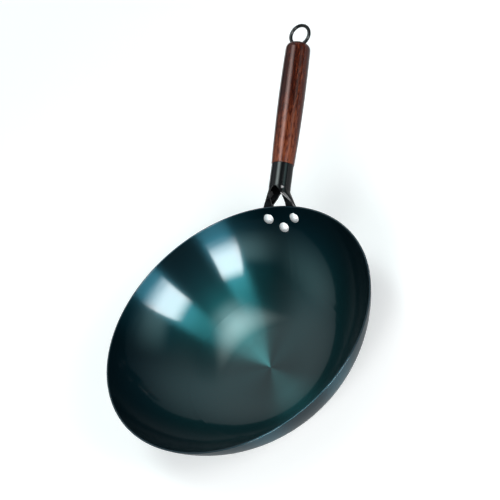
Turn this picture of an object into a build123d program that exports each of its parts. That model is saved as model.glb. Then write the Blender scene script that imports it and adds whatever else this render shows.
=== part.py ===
from build123d import *
import math
import os

os.makedirs("parts", exist_ok=True)

# Lengths are in millimetres and angles in degrees. The origin is the centre of the
# underside of the flat base, +Z is up, and the handle leaves the rim along +X.

# Pan: one disc of carbon steel, spun to a bowl, with a flat base for the stove
rim_radius = 160.0              # outside of the plain cut rim
pan_height = 90.0               # underside of the base to the rim
base_radius = 65.0              # where the curve of the wall meets the plane of the base
wall_curve_radius = 145.4       # outer face of the wall, seen from the side
base_corner_radius = 100.0      # blends the flat middle of the base into the wall
pan_sheet = 1.8
rim_rounding = 0.4

# Line of the handle: it starts straight above the outside of the rim
handle_rise = 20.3              # climb from the level
handle_height = 2.4             # height of its start above the rim

# Bracket: a steel tube whose lower end is pressed flat, flared and bent down the wall.
# Places on the handle are distances along its line.
tube_diameter = 25.0
tube_wall = 1.8
tube_end = 46.8
shaped_from = 20.0              # plain round tube above this place
flare_from = 17.3               # it starts to widen here
flattened_from = 13.0           # starts to flatten here
pressed_from = -1.0             # and is flat from here on
press_drop = 4.4                # middle of the flat part, below the line of the handle
drop_length = 24.0              # length of steel in which its middle comes down to there
bend_radius = 8.0               # middle of the flat part, where it turns down the wall
plate_half_width = 25.5         # on the wall
flare_length = 35.5             # length of steel until it has the width of the plate
flare_ease_in = 0.12            # share of that length in which the widening sets in
flare_ease_out = 0.56           # and share in which it dies out
opening_half_width = 9.2        # opening between the two legs
opening_top = 18.8              # upper end of its long arch on the tube
opening_arch = 17.0             # length of that arch
opening_depth = 13.0            # lower end of its round arch, down the wall
seat_gap = 0.1                  # between pieces that are riveted or screwed together

# Rivets: two beside the opening and one below it, placed down the wall from the rim
upper_rivet_depth = 14.9
upper_rivet_spacing = 34.5
lower_rivet_depth = 27.0
rivet_shank = 6.0
rivet_head = 12.0
rivet_head_height = 2.6
rivet_tail = 11.0
rivet_tail_height = 1.6
rivet_clearance = 0.1
plate_margin = 8.4              # steel around each rivet's middle

# Grip: turned hardwood with a spigot in the tube and a bore for the rod
grip_end = 195.2
grip_start_radius = 13.05
grip_belly_radius = 15.05
grip_belly_at = 136.0
grip_end_rounding = 8.0
grip_start_rounding = 0.8
spigot_length = 11.0
spigot_clearance = 0.15

# Rod: runs through the grip, is bent to a hanging eye above it and threaded below
rod_diameter = 4.0
rod_clearance = 0.3
eye_radius = 12.2               # middle of the rod
eye_at = 205.8
neck_at = 191.0                 # where the straight rod turns towards the eye
neck_bend_radius = 5.0
eye_end_angle = 150.0           # round the eye from its outermost point

# Fixing in the tube: a disc welded across it, a spring washer and a nut
disc_thickness = 3.0
washer_outside = 7.6
washer_thickness = 1.0
washer_split = 0.8
thread_spare = 3.0              # rod that stands out of the nut
nut_across_flats = 7.0
nut_thickness = 3.2
joint_gap = 0.05                # between faces that are screwed together

# Curve of the wall: its centre, and the place of the rim on it
chord_angle = math.atan2(pan_height, rim_radius - base_radius)
half_chord = math.hypot(pan_height, rim_radius - base_radius) / 2
centre_distance = math.sqrt(wall_curve_radius**2 - half_chord**2)
centre_x = (rim_radius + base_radius) / 2 - centre_distance * math.sin(chord_angle)
centre_z = pan_height / 2 + centre_distance * math.cos(chord_angle)
rim_angle = math.atan2(pan_height - centre_z, rim_radius - centre_x)
base_angle = math.atan2(-centre_z, base_radius - centre_x)


# Point of the side view, down the wall from the rim and outside its outer face
def wall_point(depth, outward=0.0):
    angle = rim_angle - depth / wall_curve_radius
    reach = wall_curve_radius + outward
    return (centre_x + reach * math.cos(angle), centre_z + reach * math.sin(angle))


# Plane that touches the wall's outer face, with its local Z pointing out of the pan
def wall_plane(depth, across=0.0):
    angle = rim_angle - depth / wall_curve_radius
    radius, height = wall_point(depth)
    turn = math.asin(across / radius)
    return Plane(
        origin=(radius * math.cos(turn), across, height),
        x_dir=(-math.sin(turn), math.cos(turn), 0),
        z_dir=(
            math.cos(angle) * math.cos(turn),
            math.cos(angle) * math.sin(turn),
            math.sin(angle),
        ),
    )


rivet_planes = [
    wall_plane(upper_rivet_depth, upper_rivet_spacing / 2),
    wall_plane(upper_rivet_depth, -upper_rivet_spacing / 2),
    wall_plane(lower_rivet_depth),
]

# Planes of the handle: both hold its line, one level with the eye and one upright
rise = math.radians(handle_rise)
handle_start = Vector(rim_radius, 0, pan_height + handle_height)
along = Vector(math.cos(rise), 0, math.sin(rise))
above = Vector(-math.sin(rise), 0, math.cos(rise))
eye_plane = Plane(origin=handle_start, x_dir=along, z_dir=above)
upright_plane = Plane(origin=handle_start, x_dir=along, z_dir=(0, -1, 0))
handle_axis = Axis(handle_start, along)


# Plane square to the handle, with its local Y pointing upwards
def cross_plane(distance):
    return Plane(origin=handle_start + along * distance, x_dir=(0, 1, 0), z_dir=along)


plate_thickness = 2 * tube_wall
tube_radius = tube_diameter / 2
bore_radius = tube_radius - tube_wall
rod_radius = rod_diameter / 2
rod_hole = rod_radius + rod_clearance
grip_start = tube_end + joint_gap
spigot_start = grip_start - spigot_length
disc_end = spigot_start - joint_gap
disc_start = disc_end - disc_thickness
washer_start = disc_start - joint_gap - washer_thickness
nut_start = washer_start - joint_gap - nut_thickness
rod_start = nut_start - thread_spare
rivet_hole = rivet_shank / 2 + rivet_clearance


# Pan: base, corner and wall in one profile, turned about the upright axis
with BuildPart() as wok_pan:
    rim_spare = 2.0
    with BuildSketch(Plane.XZ):
        with BuildLine() as pan_line:
            Line((0, 0), (base_radius, 0))
            CenterArc(
                (centre_x, centre_z),
                wall_curve_radius,
                math.degrees(base_angle),
                math.degrees(rim_angle - base_angle) + rim_spare,
            )
            corner = pan_line.vertices().sort_by_distance((base_radius, 0, 0))[0]
            fillet(corner, base_corner_radius)
            offset(amount=pan_sheet, side=Side.LEFT)
        make_face()
    revolve(axis=Axis.Z)
    split(bisect_by=Plane.XY.offset(pan_height), keep=Keep.BOTTOM)
    rim = wok_pan.faces().filter_by(Axis.Z).sort_by(Axis.Z)[-1]
    fillet(rim.edges(), rim_rounding)
    with BuildSketch(*rivet_planes):
        Circle(rivet_hole)
    extrude(amount=3 * pan_sheet, both=True, mode=Mode.SUBTRACT)
wok_pan.part.label = "wok_pan"
export_step(wok_pan.part, "parts/wok_pan.step")


# Line through the middle of the pressed steel: along the handle, round the bend and
# down the wall, from the round tube to the lower edge of the plate. The two walls of the
# tube lie on each other there, so half of the thickness is one tube wall.
plate_curve_radius = wall_curve_radius + seat_gap + tube_wall
plate_spare = 2.0
plate_reach = lower_rivet_depth + plate_margin + plate_spare
line_start = handle_start + along * shaped_from - above * press_drop
from_centre = (line_start.X - centre_x, line_start.Z - centre_z)
closest = from_centre[0] * along.X + from_centre[1] * along.Z
span = math.hypot(*from_centre)
run_to_wall = closest - math.sqrt(plate_curve_radius**2 - span**2 + closest**2)
turn_x = line_start.X - along.X * run_to_wall
turn_z = line_start.Z - along.Z * run_to_wall
turn_angle = math.atan2(turn_z - centre_z, turn_x - centre_x)
wall_run = rim_angle - plate_reach / wall_curve_radius - turn_angle

with BuildLine(Plane.XZ) as press_line:
    Line((line_start.X, line_start.Z), (turn_x, turn_z))
    CenterArc(
        (centre_x, centre_z),
        plate_curve_radius,
        math.degrees(turn_angle),
        math.degrees(wall_run),
    )
    turn = press_line.vertices().sort_by_distance((turn_x, 0, turn_z))[0]
    fillet(turn, bend_radius)
press_path = press_line.wires()[0]

press_steps = 24


# Smooth step from 0 to 1
def ease(share):
    share = min(max(share, 0.0), 1.0)
    return share * share * (3 - 2 * share)


# Step from 0 to 1 that is straight between its two eased ends
def eased_line(share):
    share = min(max(share, 0.0), 1.0)
    whole = 1 - (flare_ease_in + flare_ease_out) / 2
    if share < flare_ease_in:
        return share**2 / (2 * flare_ease_in) / whole
    if share > 1 - flare_ease_out:
        return 1 - (1 - share) ** 2 / (2 * flare_ease_out) / whole
    return (share - flare_ease_in / 2) / whole


# Section of the pressed tube: four arcs that meet smoothly. It is round where the line
# starts, flat with folded edges further on, and curved across to follow the bowl.
def press_section(station, inset=0.0):
    flattened = (station - shaped_from + flattened_from) / (flattened_from - pressed_from)
    roundness = 1 - ease(flattened)
    flare = eased_line((station - shaped_from + flare_from) / flare_length)
    half_width = tube_radius + (plate_half_width - tube_radius) * flare - inset
    half_height = tube_wall + (tube_radius - tube_wall) * roundness - inset
    corner_height = half_height * (1 - (1 - math.sqrt(0.5)) * roundness)
    crown = half_height - corner_height
    spare = half_width - crown - corner_height
    corner = (spare + math.sqrt(spare**2 + 4 * crown * (half_width + corner_height))) / 2
    plane = Plane(
        origin=press_path.position_at(station, position_mode=PositionMode.LENGTH),
        x_dir=(0, 1, 0),
        z_dir=-press_path.tangent_at(station, position_mode=PositionMode.LENGTH),
    )
    lift = press_drop * (1 - ease(station / drop_length))
    follow = -plane.y_dir.X / (2 * plane.origin.X) * (1 - roundness)
    corner_lift = lift + follow * corner**2
    side_lift = lift + follow * half_width**2
    top_right = (corner, corner_lift + corner_height)
    top_left = (-corner, corner_lift + corner_height)
    low_right = (corner, corner_lift - corner_height)
    low_left = (-corner, corner_lift - corner_height)
    arcs = [
        ThreePointArc(top_left, (0, lift + half_height), top_right),
        ThreePointArc(top_right, (half_width, side_lift), low_right),
        ThreePointArc(low_right, (0, lift - half_height), low_left),
        ThreePointArc(low_left, (-half_width, side_lift), top_left),
    ]
    return plane * Face(Wire(arcs))


# Bracket: pressed end, round tube, hollow, opening, seat on the pan and rivet holes
cavity_length = 17.9            # the walls of the tube meet beyond this station
cavity_steps = 12
arch_at = opening_top - opening_arch
arch_depth = opening_depth - opening_half_width
arch_overlap = 1.0
clear_of_bend = 20.0
clear_of_plate = 10.0
below_bend = 7.0                # outside the wall, clear of the legs where they turn down
outer_sections = [
    press_section(press_path.length * step / press_steps) for step in range(press_steps + 1)
]
inner_sections = [
    press_section(cavity_length * step / cavity_steps, tube_wall)
    for step in range(cavity_steps + 1)
]
with BuildPart() as handle_bracket:
    loft(outer_sections)
    with BuildSketch(cross_plane(shaped_from)):
        Circle(tube_radius)
    extrude(amount=tube_end - shaped_from)
    loft(inner_sections, mode=Mode.SUBTRACT)
    with BuildSketch(cross_plane(shaped_from)):
        Circle(bore_radius)
    extrude(amount=tube_end - shaped_from, mode=Mode.SUBTRACT)

    # The opening between the legs: a long arch on the tube, straight sides over the bend
    # and a round arch on the plate
    arch_top = handle_start + along * arch_at + above * clear_of_bend
    with BuildSketch(Plane.XZ):
        with BuildLine():
            Polyline(
                (arch_top.X, arch_top.Z),
                wall_point(arch_depth, below_bend),
                wall_point(arch_depth, -clear_of_plate),
                close=True,
            )
        make_face()
    extrude(amount=opening_half_width, both=True, mode=Mode.SUBTRACT)
    with BuildSketch(eye_plane):
        with Locations((arch_at, 0)):
            Ellipse(opening_arch, opening_half_width)
        with Locations((arch_at - arch_overlap, 0)):
            Rectangle(
                opening_arch + arch_overlap,
                2 * opening_half_width,
                align=(Align.MIN, Align.CENTER),
                mode=Mode.INTERSECT,
            )
    extrude(amount=clear_of_bend, both=True, mode=Mode.SUBTRACT)
    with BuildSketch(wall_plane(arch_depth)):
        Circle(opening_half_width)
    extrude(amount=clear_of_plate, both=True, mode=Mode.SUBTRACT)

    # The plate seats on the wall of the pan. The profile turns from the far side, so that
    # the seam of the seat is clear of the plate.
    with BuildSketch(Plane.XZ):
        with Locations((-centre_x, centre_z)):
            Circle(wall_curve_radius + seat_gap)
        Rectangle(
            2 * rim_radius,
            pan_height + seat_gap,
            align=(Align.MAX, Align.MIN),
            mode=Mode.INTERSECT,
        )
    revolve(axis=Axis.Z, mode=Mode.SUBTRACT)

    # Its lower edge runs round the three rivets
    outline_plane = wall_plane(upper_rivet_depth)
    outline_spare = 100.0
    with BuildSketch(outline_plane):
        with Locations(*[outline_plane.to_local_coords(plane.origin) for plane in rivet_planes]):
            Circle(plate_margin)
        make_hull()
        Rectangle(
            upper_rivet_spacing + 2 * plate_margin, outline_spare, align=(Align.CENTER, Align.MIN)
        )
    extrude(amount=outline_spare, both=True, mode=Mode.INTERSECT)
    with BuildSketch(*rivet_planes):
        Circle(rivet_hole)
    extrude(amount=3 * plate_thickness, both=True, mode=Mode.SUBTRACT)
handle_bracket.part.label = "handle_bracket"
export_step(handle_bracket.part, "parts/handle_bracket.step")


# One rivet about its own axis, which starts on the outer face of the wall and points out
# of the pan: domed head inside, shank through wall and plate, and a lower formed head
wall_sag = (rivet_head / 2) ** 2 / (2 * (wall_curve_radius - pan_sheet))
head_seat = -pan_sheet - wall_sag - joint_gap
tail_seat = seat_gap + plate_thickness + joint_gap


# Halfway point of the profile of a dome that is this wide and high
def dome_point(radius, height):
    ball = (radius**2 + height**2) / (2 * height)
    angle = math.asin(radius / ball) / 2
    return (ball * math.sin(angle), height - ball * (1 - math.cos(angle)))


head_x, head_z = dome_point(rivet_head / 2, rivet_head_height)
tail_x, tail_z = dome_point(rivet_tail / 2, rivet_tail_height)
with BuildPart() as rivet:
    with BuildSketch(Plane.XZ):
        with BuildLine():
            ThreePointArc(
                (0, head_seat - rivet_head_height),
                (head_x, head_seat - head_z),
                (rivet_head / 2, head_seat),
            )
            Polyline(
                (rivet_head / 2, head_seat),
                (rivet_shank / 2, head_seat),
                (rivet_shank / 2, tail_seat),
                (rivet_tail / 2, tail_seat),
            )
            ThreePointArc(
                (rivet_tail / 2, tail_seat),
                (tail_x, tail_seat + tail_z),
                (0, tail_seat + rivet_tail_height),
            )
            Line((0, tail_seat + rivet_tail_height), (0, head_seat - rivet_head_height))
        make_face()
    revolve(axis=Axis.Z)
with BuildPart() as rivets:
    with Locations(*[plane.location for plane in rivet_planes]):
        add(rivet.part)
rivets.part.label = "rivets"
export_step(rivets.part, "parts/rivets.step")


# Route of the rod: straight from its threaded end, over to one side of the grip's end
# and round the eye
neck_reach = eye_at - neck_at
neck_angle = math.asin(eye_radius / neck_reach)
neck_run = neck_reach * math.cos(neck_angle)
eye_start = (
    neck_at + neck_run * math.cos(neck_angle),
    -neck_run * math.sin(neck_angle),
)
eye_start_angle = -math.degrees(math.pi / 2 + neck_angle)
with BuildLine(eye_plane) as rod_line:
    Line((rod_start, 0), (neck_at, 0))
    Line((neck_at, 0), eye_start)
    CenterArc((eye_at, 0), eye_radius, eye_start_angle, eye_end_angle - eye_start_angle)
    neck = rod_line.vertices().sort_by_distance(handle_start + along * neck_at)[0]
    fillet(neck, neck_bend_radius)
rod_path = rod_line.wires()[0]

with BuildPart() as eye_rod:
    with BuildSketch(cross_plane(rod_start)):
        Circle(rod_radius)
    sweep(path=rod_path)
eye_rod.part.label = "eye_rod"
export_step(eye_rod.part, "parts/eye_rod.step")


# Point on the outside of the grip, in the side view of the handle: the barrel is thickest
# at its belly and bows evenly to both ends
barrel_bow = (grip_belly_radius - grip_start_radius) / (grip_belly_at - grip_start) ** 2
barrel_arcs = 4
barrel_step = (grip_end - grip_start) / barrel_arcs


def barrel_point(distance):
    return (distance, grip_belly_radius - barrel_bow * (distance - grip_belly_at) ** 2)


# Grip: barrel, spigot, bore and a slot across its end that the foot of the eye sits in
with BuildPart() as wooden_grip:
    with BuildSketch(upright_plane):
        with BuildLine():
            for arc in range(barrel_arcs):
                arc_start = grip_start + barrel_step * arc
                ThreePointArc(
                    barrel_point(arc_start),
                    barrel_point(arc_start + barrel_step / 2),
                    barrel_point(arc_start + barrel_step),
                )
            Polyline(
                barrel_point(grip_end),
                (grip_end, 0),
                (spigot_start, 0),
                (spigot_start, bore_radius - spigot_clearance),
                (grip_start, bore_radius - spigot_clearance),
                barrel_point(grip_start),
            )
        make_face()
    revolve(axis=handle_axis)
    end_edge = wooden_grip.edges().filter_by(GeomType.CIRCLE).sort_by(handle_axis)[-1]
    fillet(end_edge, grip_end_rounding)
    start_face = wooden_grip.faces().filter_by(GeomType.PLANE).sort_by(handle_axis)[1]
    fillet(start_face.edges().sort_by(SortBy.RADIUS)[-1], grip_start_rounding)
    with BuildSketch(eye_plane):
        with Locations((eye_at, 0)):
            Circle(eye_radius + rod_hole)
    extrude(amount=rod_hole, both=True, mode=Mode.SUBTRACT)
    with BuildSketch(cross_plane(rod_start)):
        Circle(rod_hole)
    sweep(path=rod_path, mode=Mode.SUBTRACT)
wooden_grip.part.label = "wooden_grip"
export_step(wooden_grip.part, "parts/wooden_grip.step")


# Disc across the inside of the tube
with BuildPart() as anchor_disc:
    with BuildSketch(cross_plane(disc_start)):
        Circle(bore_radius - joint_gap)
        Circle(rod_hole, mode=Mode.SUBTRACT)
    extrude(amount=disc_thickness)
anchor_disc.part.label = "anchor_disc"
export_step(anchor_disc.part, "parts/anchor_disc.step")


# Spring washer, split on one side
with BuildPart() as spring_washer:
    with BuildSketch(cross_plane(washer_start)):
        Circle(washer_outside / 2)
        Circle(rod_hole, mode=Mode.SUBTRACT)
        with Locations((0, washer_outside / 2)):
            Rectangle(washer_split, washer_outside, mode=Mode.SUBTRACT)
    extrude(amount=washer_thickness)
spring_washer.part.label = "spring_washer"
export_step(spring_washer.part, "parts/spring_washer.step")


# Nut on the threaded end of the rod
with BuildPart() as rod_nut:
    with BuildSketch(cross_plane(nut_start)):
        RegularPolygon(nut_across_flats / 2, 6, major_radius=False)
        Circle(rod_radius + joint_gap, mode=Mode.SUBTRACT)
    extrude(amount=nut_thickness)
rod_nut.part.label = "rod_nut"
export_step(rod_nut.part, "parts/rod_nut.step")
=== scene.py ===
import bpy
import math
from mathutils import Matrix, Vector

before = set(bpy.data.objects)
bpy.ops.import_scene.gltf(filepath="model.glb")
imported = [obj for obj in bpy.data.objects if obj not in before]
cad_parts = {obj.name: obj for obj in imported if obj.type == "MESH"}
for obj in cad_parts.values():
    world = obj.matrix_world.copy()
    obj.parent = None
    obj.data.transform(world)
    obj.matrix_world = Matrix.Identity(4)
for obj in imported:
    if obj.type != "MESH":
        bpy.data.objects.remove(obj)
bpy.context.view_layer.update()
print("wok loaded:", ", ".join(sorted(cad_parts)))


# Camera above the wok, turned so that the handle climbs to the right
view = {
    "place": (-0.74328, -0.90175, 1.20729),
    "right": (0.30741, -0.83601, -0.45451),
    "up": (0.8078, -0.02319, 0.589),
    "lens": 108,
    "sensor": 36,
    "shift": (-0.001, 0.001),
}


def placeCamera():
    camera = bpy.data.objects.new("wokCamera", bpy.data.cameras.new("wokCamera"))
    bpy.context.scene.collection.objects.link(camera)
    right = Vector(view["right"]).normalized()
    back = right.cross(Vector(view["up"])).normalized()
    up = back.cross(right)
    turn = Matrix((right, up, back)).transposed()
    camera.matrix_world = Matrix.Translation(view["place"]) @ turn.to_4x4()
    camera.data.lens = view["lens"]
    camera.data.sensor_width = view["sensor"]
    camera.data.shift_x, camera.data.shift_y = view["shift"]
    bpy.context.scene.camera = camera


placeCamera()
print("camera placed")


# A number in a material, with arithmetic that adds Math nodes
class Wire:
    def __init__(self, tree, socket):
        self.tree = tree
        self.socket = socket

    def join(self, operation, first, second):
        node = self.tree.nodes.new("ShaderNodeMath")
        node.operation = operation
        for place, value in enumerate((first, second)):
            if isinstance(value, Wire):
                self.tree.links.new(value.socket, node.inputs[place])
            else:
                node.inputs[place].default_value = value
        return Wire(self.tree, node.outputs[0])

    def __add__(self, other):
        return self.join("ADD", self, other)

    def __radd__(self, other):
        return self.join("ADD", other, self)

    def __sub__(self, other):
        return self.join("SUBTRACT", self, other)

    def __rsub__(self, other):
        return self.join("SUBTRACT", other, self)

    def __mul__(self, other):
        return self.join("MULTIPLY", self, other)

    def __rmul__(self, other):
        return self.join("MULTIPLY", other, self)


# A finish on the object, made of nodes
class Finish:
    def __init__(self, name, tree=None):
        if tree is None:
            self.material = bpy.data.materials.new(name)
            self.material.use_nodes = True
            tree = self.material.node_tree
        self.tree = tree

    # Any node: its kind, its settings, then the values or wires of its sockets
    def add(self, kind, settings=None, sockets=None, output=0):
        node = self.tree.nodes.new(kind)
        for key, value in (settings or {}).items():
            if key == "stops":
                ramp = node.color_ramp.elements
                while len(ramp) < len(value):
                    ramp.new(0.5)
                for element, (place, colour) in zip(ramp, value):
                    element.position = place
                    element.color = colour
            else:
                setattr(node, key, value)
        self.feed(node, sockets or {})
        return Wire(self.tree, node.outputs[output])

    def feed(self, node, sockets):
        for key, value in sockets.items():
            if isinstance(value, Wire):
                self.tree.links.new(value.socket, node.inputs[key])
            else:
                node.inputs[key].default_value = value

    def shade(self, sockets):
        self.feed(self.tree.nodes["Principled BSDF"], sockets)

    def smooth(self, value, low, high):
        limits = {"Value": value, "From Min": low, "From Max": high}
        return self.add("ShaderNodeMapRange", {"interpolation_type": "SMOOTHSTEP"}, limits)

    def noise(self, vector, scale, detail=2, rough=0.5):
        sockets = {"Vector": vector, "Scale": scale, "Detail": detail, "Roughness": rough}
        return self.add("ShaderNodeTexNoise", None, sockets)

    def mixColour(self, share, first, second):
        node = self.tree.nodes.new("ShaderNodeMix")
        node.data_type = "RGBA"
        self.feed(node, {0: share, 6: first, 7: second})
        return Wire(self.tree, node.outputs[2])


white = (1, 1, 1, 1)
black = (0, 0, 0, 1)

# Studio: two upright softboxes in front, three dim curtains beside them, and a panel above.
# Angles are seen from the bowl, bright is how many times brighter than white paper, and
# fade is the share that dims at the first and last azimuth, the bottom and the top.
studio = {
    "middle": (0, 0, 0.05),
    "watts": 4,  # for each square metre of a lamp with a bright of 1
    "lastDepth": 2.5,  # rays that have bounced further see no lamp
    "leftBox": {
        "azimuth": (185, 210),
        "elevation": (12, 53),
        "distance": 2,
        "bright": 9.8,
        "colour": white,
        "fade": (0.04, 0.04, 0.36, 0.38),
    },
    "rightBox": {
        "azimuth": (249, 275),
        "elevation": (6, 49.5),
        "distance": 2,
        "bright": 9.2,
        "colour": white,
        "fade": (0.04, 0.03, 0.37, 0.4),
    },
    "leftCurtain": {
        "azimuth": (145, 186),
        "elevation": (8, 44),
        "distance": 2.1,
        "bright": 1.1,
        "colour": (0.62, 1, 1, 1),
        "fade": (0.97, 0.03, 0.5, 0.4),
    },
    "farCurtain": {
        "azimuth": (80, 165),
        "elevation": (4, 48),
        "distance": 2.2,
        "bright": 0.3,
        "colour": (0.62, 1, 1, 1),
        "fade": (0.5, 0.5, 0.5, 0.5),
    },
    "rightCurtain": {
        "azimuth": (274, 315),
        "elevation": (4, 42),
        "distance": 2.1,
        "bright": 0.95,
        "colour": (0.62, 1, 1, 1),
        "fade": (0.03, 0.97, 0.5, 0.4),
    },
    "panel": {
        "place": (0.13, 0.19, 2),
        "turn": 50,
        "length": 2.5,
        "width": 1.2,
        "bright": 4.5,
        "colour": (0.86, 1, 0.98, 1),
        "fade": (0.5, 0.5, 0.5, 0.5),
    },
}


# A lamp whose light fades out towards its edges.
# It lights the wok straight, and gives nothing to reflections of reflections.
def addLamp(name, place, turn, width, height, box):
    lamp = bpy.data.objects.new(name, bpy.data.lights.new(name, "AREA"))
    bpy.context.scene.collection.objects.link(lamp)
    lamp.data.shape = "RECTANGLE"
    lamp.data.size = width
    lamp.data.size_y = height
    lamp.data.energy = studio["watts"] * box["bright"] * width * height
    lamp.matrix_world = Matrix.Translation(place) @ turn.to_4x4()
    lamp.visible_camera = False
    lamp.data.cycles.max_bounces = 0
    lamp.data.use_nodes = True
    cloth = Finish(name, lamp.data.node_tree)
    spot = cloth.add("ShaderNodeNewGeometry", output="Parametric")
    across = cloth.add("ShaderNodeSeparateXYZ", None, {0: spot}, 0)
    upward = cloth.add("ShaderNodeSeparateXYZ", None, {0: spot}, 1)
    fade = box["fade"]
    sides = cloth.smooth(across, 0, fade[0]) * cloth.smooth(across, 1, 1 - fade[1])
    share = sides * cloth.smooth(upward, 0, fade[2]) * cloth.smooth(upward, 1, 1 - fade[3])
    depth = cloth.add("ShaderNodeLightPath", output="Ray Depth")
    limit = {0: depth, 1: studio["lastDepth"]}
    direct = cloth.add("ShaderNodeMath", {"operation": "LESS_THAN"}, limit)
    light = {"Color": box["colour"], "Strength": share * direct}
    cloth.feed(cloth.tree.nodes["Emission"], light)


def addSoftbox(name, box):
    middle = Vector(studio["middle"])
    first, last = [math.radians(angle) for angle in box["azimuth"]]
    low, high = [math.radians(angle) for angle in box["elevation"]]
    azimuth = (first + last) / 2
    out = Vector((math.cos(azimuth), math.sin(azimuth), 0))
    bottom = box["distance"] * math.tan(low)
    top = box["distance"] * math.tan(high)
    width = 2 * box["distance"] * math.tan((last - first) / 2)
    place = middle + out * box["distance"] + Vector((0, 0, (bottom + top) / 2))
    turn = out.to_track_quat("Z", "Y").to_matrix()
    addLamp(name, place, turn, width, top - bottom, box)


def addPanel(name, panel):
    turn = Matrix.Rotation(math.radians(panel["turn"]), 3, "Z")
    addLamp(name, panel["place"], turn, panel["length"], panel["width"], panel)


for softbox in ("leftBox", "rightBox", "leftCurtain", "farCurtain", "rightCurtain"):
    addSoftbox(softbox, studio[softbox])
addPanel("panel", studio["panel"])
print("lamps hung")


# One for the rays that show the background: from the camera, off metal and through glass
def seenRay(finish):
    camera, glossy, through = [
        finish.add("ShaderNodeLightPath", output=name)
        for name in ("Is Camera Ray", "Is Glossy Ray", "Is Transmission Ray")
    ]
    return finish.add("ShaderNodeMath", {"operation": "MAXIMUM"}, {0: camera, 1: glossy + through})


# White behind the wok, which gives no light of its own
def makeWorld():
    world = bpy.data.worlds.new("studio")
    world.use_nodes = True
    bpy.context.scene.world = world
    backdrop = Finish("studio", world.node_tree)
    background = {"Color": white, "Strength": seenRay(backdrop)}
    backdrop.feed(backdrop.tree.nodes["Background"], background)


makeWorld()
print("background white")


# Tent of dark cloth round the table, lighter high up on the far side of the wok.
# Sides and heights are those of a direction of length 1 from the wok.
tentCloth = {
    "radius": 5,
    "segments": 48,
    "rings": 24,
    "dark": (0.04, 0.06, 0.07, 1),
    "light": (0.46, 0.48, 0.5, 1),
    "lightSide": (0.79, 0.61, 0),
    "reach": (-0.35, 0.62),
    "rise": (0.05, 0.8),
    "fall": (0.76, 0.94),
    "top": 0.35,
}


def makeTent():
    bpy.ops.object.select_all(action="DESELECT")
    bpy.ops.mesh.primitive_uv_sphere_add(
        segments=tentCloth["segments"],
        ring_count=tentCloth["rings"],
        radius=tentCloth["radius"],
    )
    tent = bpy.context.object
    tent.name = "tent"
    bpy.ops.object.mode_set(mode="EDIT")
    bpy.ops.mesh.select_all(action="SELECT")
    bpy.ops.mesh.bisect(plane_co=(0, 0, 0), plane_no=(0, 0, 1), clear_inner=True)
    bpy.ops.mesh.flip_normals()
    bpy.ops.object.mode_set(mode="OBJECT")
    cloth = Finish("tentCloth")
    place = cloth.add("ShaderNodeTexCoord", output="Object")
    direction = cloth.add("ShaderNodeVectorMath", {"operation": "NORMALIZE"}, {0: place})
    side = Vector(tentCloth["lightSide"]).normalized()
    towards = cloth.add(
        "ShaderNodeVectorMath", {"operation": "DOT_PRODUCT"}, {0: direction, 1: side}, "Value"
    )
    height = cloth.add("ShaderNodeSeparateXYZ", None, {0: direction}, 2)
    fall = cloth.smooth(height, *tentCloth["fall"]) * (1 - tentCloth["top"])
    rise = cloth.smooth(height, *tentCloth["rise"])
    share = cloth.smooth(towards, *tentCloth["reach"]) * rise * (1 - fall)
    glow = cloth.mixColour(share, tentCloth["dark"], tentCloth["light"])
    cloth.shade(
        {
            "Base Color": black,
            "Specular IOR Level": 0,
            "Emission Color": glow,
            "Emission Strength": 1,
        }
    )
    tent.data.materials.append(cloth.material)
    tent.visible_camera = False


makeTent()
print("tent pitched")


# Pale paper floor: it keeps the shadow, and glows white further out
floorPaper = {
    "size": 30,
    "drop": 0.0002,
    "colour": (0.85, 0.85, 0.85, 1),
    "roughness": 0.9,
    "shine": 0.1,
    "nearGlow": 0.3,
    "farGlow": 1,
    "farReach": (0.7, 2.5),
}


def makeFloor():
    bpy.ops.object.select_all(action="DESELECT")
    place = (0, 0, -floorPaper["drop"])
    bpy.ops.mesh.primitive_plane_add(size=floorPaper["size"], location=place)
    floor = bpy.context.object
    floor.name = "floor"
    paper = Finish("floorPaper")
    spot = paper.add("ShaderNodeTexCoord", output="Object")
    away = paper.add("ShaderNodeVectorMath", {"operation": "LENGTH"}, {0: spot}, "Value")
    near = floorPaper["nearGlow"]
    glow = paper.smooth(away, *floorPaper["farReach"]) * (floorPaper["farGlow"] - near) + near
    paper.shade(
        {
            "Base Color": floorPaper["colour"],
            "Roughness": floorPaper["roughness"],
            "Specular IOR Level": floorPaper["shine"],
            "Emission Color": white,
            "Emission Strength": seenRay(paper) * glow,
        }
    )
    floor.data.materials.append(paper.material)


makeFloor()
print("floor laid")


def dress(node, finish):
    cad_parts[node].material_slots[0].material = finish.material


# Blued carbon steel, spun: fine rings round the bowl spread its highlights up and down.
# The dish is a slight slope of the metal towards the middle, and outside is the underside.
steel = {
    "centre": (0.024, 0.094, 0.1, 1),
    "centreReach": (0.095, 0.055),
    "deep": (0.009, 0.074, 0.085, 1),
    "pale": (0.012, 0.088, 0.096, 1),
    "rim": (0.013, 0.06, 0.083, 1),
    "rimReach": (0.1, 0.16),
    "dish": {"slope": 0.22, "radius": 0.06, "blend": 0.04},
    "cloudScale": 9,
    "cloudDetail": 3,
    "roughness": 0.29,
    "roughnessSpread": 0.03,
    "spun": 1,
    "spunTurn": 0.25,
    "coat": 1,
    "outsideCoat": 0.6,
    "outsideRoughness": 0.1,
    "outsideTilt": (0.1, -0.1),
    "coatIor": 1.6,
    "coatRoughness": 0.08,
    "ringsPerMetre": 900,
    "ringDetail": 3,
    "ringHeight": 0.00001,
}


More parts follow.
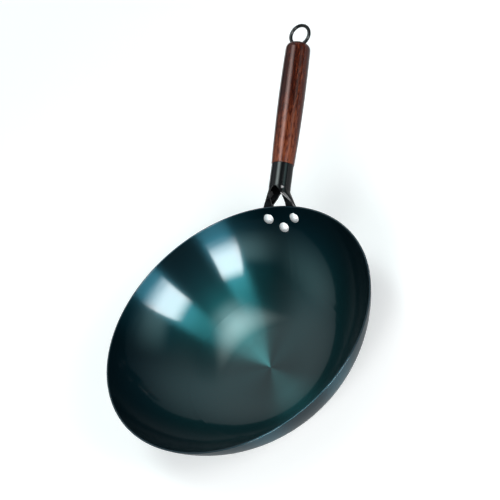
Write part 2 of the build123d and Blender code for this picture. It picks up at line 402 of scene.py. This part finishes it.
def makeBluedSteel():
    finish = Finish("bluedSteel")
    place = finish.add("ShaderNodeTexCoord", output="Object")
    x, y, z = [finish.add("ShaderNodeSeparateXYZ", None, {0: place}, axis) for axis in range(3)]
    radius = finish.add("ShaderNodeMath", {"operation": "SQRT"}, {0: x * x + y * y})
    ring = finish.add(
        "ShaderNodeTexNoise",
        {"noise_dimensions": "1D"},
        {"W": radius + z, "Scale": steel["ringsPerMetre"], "Detail": steel["ringDetail"]},
    )
    fineness = (ring - 0.5) * steel["roughnessSpread"]
    cloud = finish.noise(place, steel["cloudScale"], steel["cloudDetail"])
    inner = finish.mixColour(cloud, steel["deep"], steel["pale"])
    central = finish.smooth(radius, *steel["centreReach"])
    inner = finish.mixColour(central, inner, steel["centre"])
    outward = finish.smooth(radius, *steel["rimReach"])
    facing = finish.add("ShaderNodeNewGeometry", output="Normal")
    tilt = finish.add("ShaderNodeSeparateXYZ", None, {0: facing}, 2)
    outside = finish.smooth(tilt, *steel["outsideTilt"])
    dish = steel["dish"]
    bowl = finish.add(
        "ShaderNodeMath",
        {"operation": "SMOOTH_MIN"},
        {0: radius, 1: dish["radius"], 2: dish["blend"]},
    )
    dished = finish.add("ShaderNodeBump", None, {"Height": bowl, "Distance": dish["slope"]})
    bump = finish.add(
        "ShaderNodeBump",
        None,
        {"Height": ring, "Distance": steel["ringHeight"], "Normal": dished},
    )
    finish.shade(
        {
            "Base Color": finish.mixColour(outward, inner, steel["rim"]),
            "Metallic": 1,
            "Roughness": steel["roughness"] + fineness + outside * steel["outsideRoughness"],
            "Anisotropic": steel["spun"],
            "Anisotropic Rotation": steel["spunTurn"],
            "Coat Weight": steel["coat"] - outside * (steel["coat"] - steel["outsideCoat"]),
            "Coat IOR": steel["coatIor"],
            "Coat Roughness": steel["coatRoughness"],
            "Normal": bump,
        }
    )
    return finish


dress("wok_pan", makeBluedSteel())
print("pan blued")


# Black stove lacquer on the bracket and the eye
lacquer = {
    "colour": (0.004, 0.004, 0.0045, 1),
    "roughness": 0.12,
    "patchScale": 60,
    "patchSpread": 0.06,
    "dropScale": 260,
    "dropHeight": 0.00003,
}


def makeBlackLacquer():
    finish = Finish("blackLacquer")
    place = finish.add("ShaderNodeTexCoord", output="Object")
    drops = finish.noise(place, lacquer["dropScale"])
    patches = finish.noise(place, lacquer["patchScale"])
    bump = finish.add("ShaderNodeBump", None, {"Height": drops, "Distance": lacquer["dropHeight"]})
    finish.shade(
        {
            "Base Color": lacquer["colour"],
            "Roughness": lacquer["roughness"] + (patches - 0.5) * lacquer["patchSpread"],
            "Normal": bump,
        }
    )
    return finish


blackLacquer = makeBlackLacquer()
dress("handle_bracket", blackLacquer)
dress("eye_rod", blackLacquer)
print("bracket and eye lacquered")


# Red hardwood under clear lacquer, with its grain along the handle.
# Start and rise are those of the handle, and bands and flecks are so many to the metre.
wood = {
    "start": (0.16, 0, 0.0924),
    "rise": 20.3,
    "shades": [
        (0.38, (0.014, 0.002, 0.001, 1)),
        (0.5, (0.055, 0.009, 0.003, 1)),
        (0.66, (0.2, 0.05, 0.02, 1)),
    ],
    "band": {"scale": (9, 70, 70), "detail": 4, "rough": 0.6},
    "fleck": {"scale": (110, 480, 480), "detail": 4, "rough": 0.65},
    "fleckShare": 0.6,
    "warmEnd": (0.15, 0.05),
    "warmth": 0.14,
    "roughness": 0.16,
    "sheen": (1, 0.45, 0.4, 1),
    "coat": 0.4,
    "coatRoughness": 0.06,
    "poreHeight": 0.0001,
}


def addFigure(finish, along, figure):
    scaled = {"Vector": along, "Scale": figure["scale"]}
    stretched = finish.add("ShaderNodeMapping", None, scaled)
    return finish.noise(stretched, 1, figure["detail"], figure["rough"])


def makeLacqueredWood():
    finish = Finish("lacqueredWood")
    rise = math.radians(wood["rise"])
    start = Matrix.Rotation(rise, 3, "Y") @ Vector(wood["start"])
    along = finish.add(
        "ShaderNodeMapping",
        None,
        {
            "Vector": finish.add("ShaderNodeTexCoord", output="Object"),
            "Location": -start,
            "Rotation": (0, rise, 0),
        },
    )
    band = addFigure(finish, along, wood["band"])
    fleck = addFigure(finish, along, wood["fleck"])
    distance = finish.add("ShaderNodeSeparateXYZ", None, {0: along}, 0)
    warm = (finish.smooth(distance, *wood["warmEnd"]) - 0.5) * wood["warmth"]
    grain = band * (1 - wood["fleckShare"]) + fleck * wood["fleckShare"] + warm
    colour = finish.add("ShaderNodeValToRGB", {"stops": wood["shades"]}, {"Fac": grain})
    bump = finish.add("ShaderNodeBump", None, {"Height": band, "Distance": wood["poreHeight"]})
    finish.shade(
        {
            "Base Color": colour,
            "Roughness": wood["roughness"],
            "Specular Tint": wood["sheen"],
            "Coat Weight": wood["coat"],
            "Coat Roughness": wood["coatRoughness"],
            "Normal": bump,
        }
    )
    return finish


dress("wooden_grip", makeLacqueredWood())
print("grip lacquered")


# Plain metals: soft aluminium rivets, zinc on the parts inside the tube
metal = {
    "rivet": (0.9, 0.91, 0.92, 1),
    "rivetRoughness": 0.5,
    "rivetShare": 0.6,
    "zinc": (0.55, 0.56, 0.58, 1),
    "zincRoughness": 0.38,
    "markScale": 900,
    "markDetail": 3,
    "markSpread": 0.2,
    "markHeight": 0.00002,
}


def makePlainMetal(name, colour, roughness, share=1):
    finish = Finish(name)
    place = finish.add("ShaderNodeTexCoord", output="Object")
    marks = finish.noise(place, metal["markScale"], metal["markDetail"])
    bump = finish.add("ShaderNodeBump", None, {"Height": marks, "Distance": metal["markHeight"]})
    finish.shade(
        {
            "Base Color": colour,
            "Metallic": share,
            "Roughness": roughness + (marks - 0.5) * metal["markSpread"],
            "Normal": bump,
        }
    )
    return finish


rivet = (metal["rivet"], metal["rivetRoughness"], metal["rivetShare"])
dress("rivets", makePlainMetal("rivetMetal", *rivet))
zinc = makePlainMetal("zincSteel", metal["zinc"], metal["zincRoughness"])
for hidden in ("anchor_disc", "spring_washer", "rod_nut"):
    dress(hidden, zinc)
print("metals finished")


bpy.context.scene.view_settings.view_transform = "Standard"
